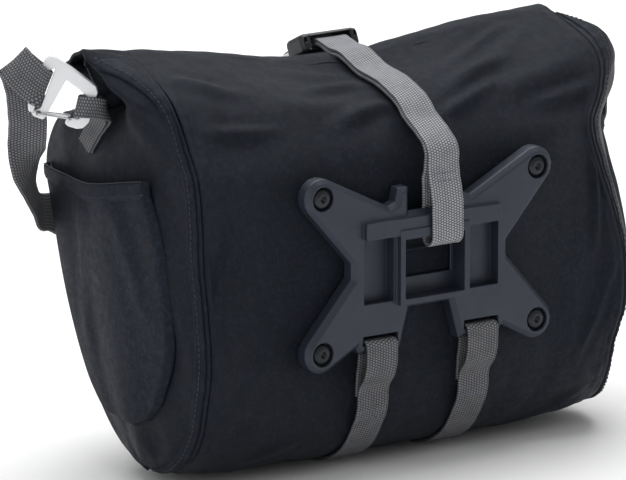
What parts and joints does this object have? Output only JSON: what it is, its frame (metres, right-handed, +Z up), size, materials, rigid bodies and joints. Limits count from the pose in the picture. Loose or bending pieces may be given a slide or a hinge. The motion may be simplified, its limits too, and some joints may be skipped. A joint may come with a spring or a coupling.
{
  "type": "handlebar bag",
  "caption": "Roll-top cloth bag that hangs from a handlebar by a moulded back plate, with stretch side pockets, straps and a hooked shoulder strap.",
  "frame": {"origin": "middle of the bounding box's footprint, on the surface the bag stands on", "axes": "+X across the bag, to the right for one who faces the mounting plate; -Y out of the mounting plate; +Z up"},
  "size_m": [0.3956, 0.18, 0.2324],
  "materials": {
    "black_cloth": "coated cloth, soft sheen",
    "navy_stretch": "matt stretch cloth",
    "plate_plastic": "moulded, satin",
    "screw_steel": "blackened, satin",
    "webbing_light": "woven, light grey",
    "webbing_mid": "woven, mid grey",
    "buckle_plastic": "moulded, satin",
    "hook_white": "white, satin",
    "wire_steel": "bare wire"
  },
  "bodies": {
    "bag": {"main_panel": "black_cloth", "roll_top": "black_cloth", "gusset_left": "black_cloth", "gusset_right": "black_cloth", "pocket_left": "navy_stretch", "pocket_right": "navy_stretch", "pocket_hem_left": "navy_stretch", "pocket_hem_right": "navy_stretch", "seam_tape_left": "black_cloth", "seam_tape_right": "black_cloth", "mount_plate": "plate_plastic", "plate_screw_1": "screw_steel", "plate_screw_2": "screw_steel", "plate_screw_3": "screw_steel", "plate_screw_4": "screw_steel", "centre_strap": "webbing_light", "front_strap": "webbing_light", "buckle_body": "buckle_plastic", "buckle_bar": "buckle_plastic", "closure_ring": "hook_white", "lower_strap_left": "webbing_mid", "lower_strap_right": "webbing_mid", "strap_hook_left": "hook_white", "strap_hook_right": "hook_white", "side_loop_left": "webbing_mid", "side_loop_right": "webbing_mid", "shoulder_strap": "webbing_mid"},
    "gate_left": {"gate_wire_left": "wire_steel"},
    "gate_right": {"gate_wire_right": "wire_steel"}
  },
  "joints": [
    {"name": "gate_left_hinge", "type": "hinge", "parent": "bag", "child": "gate_left", "pos_m": [-0.18083, 0.01618, 0.19816], "axis": [-0.5662, -0.8243, 0], "range_deg": [0, 20], "stiffness_Nm_per_rad": 0.02},
    {"name": "gate_right_hinge", "type": "hinge", "parent": "bag", "child": "gate_right", "pos_m": [0.18083, 0.03268, 0.14576], "axis": [-0.5662, 0.8243, 0], "range_deg": [0, 20], "stiffness_Nm_per_rad": 0.02}
  ]
}
